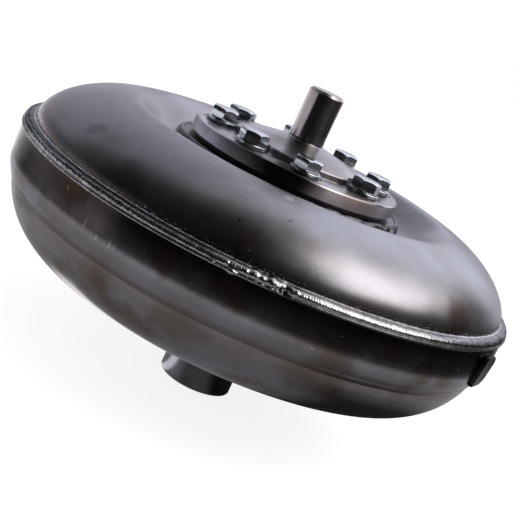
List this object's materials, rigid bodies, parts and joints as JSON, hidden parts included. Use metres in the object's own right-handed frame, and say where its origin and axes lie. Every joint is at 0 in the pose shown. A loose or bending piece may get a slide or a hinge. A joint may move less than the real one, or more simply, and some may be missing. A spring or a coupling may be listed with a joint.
{
  "type": "torque converter",
  "caption": "Round welded torque converter with a bolted pilot flange on one side and a tubular drive hub on the other; bladed turbine and stator wheels turn inside it.",
  "frame": {"origin": "centre of the hub's end face, on which the part stands", "axes": "+Z along the axis of rotation, from the transmission side to the engine side; +X and +Y across, with the balance weight on the +X -Y side"},
  "size_m": [0.288, 0.288, 0.179],
  "materials": {
    "shell_steel": "polished pressed steel sheet with heat tint",
    "weld_bead": "as-welded bead",
    "machined_steel": "fine turned",
    "dark_steel": "turned, darkened by oil and heat",
    "zinc_plate": "bright zinc plate",
    "stamped_steel": "stamped sheet",
    "turned_steel": "turned",
    "cast_aluminium": "die cast",
    "bearing_steel": "ground",
    "spring_steel": "blued",
    "phenolic_resin": "moulded phenolic"
  },
  "bodies": {
    "housing": {"balance_weight": "shell_steel", "boss_ring": "dark_steel", "boss_ring_weld": "weld_bead", "cover_bearing_race": "bearing_steel", "flange_bolt_1": "zinc_plate", "flange_bolt_2": "zinc_plate", "flange_bolt_3": "zinc_plate", "flange_bolt_4": "zinc_plate", "flange_bolt_5": "zinc_plate", "flange_bolt_6": "zinc_plate", "flange_bolt_7": "zinc_plate", "flange_bolt_8": "zinc_plate", "front_cover": "shell_steel", "hub_bearing_race": "bearing_steel", "hub_weld": "weld_bead", "impeller_blade_ring": "stamped_steel", "impeller_hub": "dark_steel", "impeller_shell": "shell_steel", "pilot_flange": "machined_steel", "seam_weld": "weld_bead", "spring_washer_1": "zinc_plate", "spring_washer_2": "zinc_plate", "spring_washer_3": "zinc_plate", "spring_washer_4": "zinc_plate", "spring_washer_5": "zinc_plate", "spring_washer_6": "zinc_plate", "spring_washer_7": "zinc_plate", "spring_washer_8": "zinc_plate"},
    "turbine": {"turbine_bearing_race": "bearing_steel", "turbine_blade_ring": "stamped_steel", "turbine_hub": "turned_steel", "turbine_rivet_1": "turned_steel", "turbine_rivet_2": "turned_steel", "turbine_rivet_3": "turned_steel", "turbine_rivet_4": "turned_steel", "turbine_rivet_5": "turned_steel", "turbine_rivet_6": "turned_steel", "turbine_shell": "stamped_steel"},
    "stator": {"clutch_cam": "bearing_steel", "clutch_roller_1": "bearing_steel", "clutch_roller_2": "bearing_steel", "clutch_roller_3": "bearing_steel", "clutch_roller_4": "bearing_steel", "clutch_roller_5": "bearing_steel", "clutch_roller_6": "bearing_steel", "clutch_side_plate": "bearing_steel", "clutch_snap_ring": "spring_steel", "clutch_spring_1": "spring_steel", "clutch_spring_2": "spring_steel", "clutch_spring_3": "spring_steel", "clutch_spring_4": "spring_steel", "clutch_spring_5": "spring_steel", "clutch_spring_6": "spring_steel", "stator_bearing_race": "bearing_steel", "stator_thrust_washer": "phenolic_resin", "stator_wheel": "cast_aluminium"},
    "inner_race": {"clutch_inner_race": "bearing_steel"},
    "front_bearing": {"front_needle_cage": "bearing_steel"},
    "rear_bearing": {"rear_needle_cage": "bearing_steel"}
  },
  "joints": [
    {"name": "turbine_spin", "type": "hinge", "parent": "housing", "child": "turbine", "pos_m": [0, 0, 0.106], "axis": [0, 0, 1], "continuous": true},
    {"name": "stator_spin", "type": "hinge", "parent": "housing", "child": "stator", "pos_m": [0, 0, 0.086], "axis": [0, 0, 1], "continuous": true},
    {"name": "clutch_overrun", "type": "hinge", "parent": "stator", "child": "inner_race", "pos_m": [0, 0, 0.085], "axis": [0, 0, 1], "continuous": true},
    {"name": "front_bearing_roll", "type": "hinge", "parent": "housing", "child": "front_bearing", "pos_m": [0, 0, 0.1149], "axis": [0, 0, 1], "continuous": true},
    {"name": "rear_bearing_roll", "type": "hinge", "parent": "housing", "child": "rear_bearing", "pos_m": [0, 0, 0.0686], "axis": [0, 0, 1], "continuous": true}
  ],
  "couplings": [
    {"joint": "front_bearing_roll", "follows": "turbine_spin", "ratio": 0.5},
    {"joint": "rear_bearing_roll", "follows": "stator_spin", "ratio": 0.5}
  ]
}
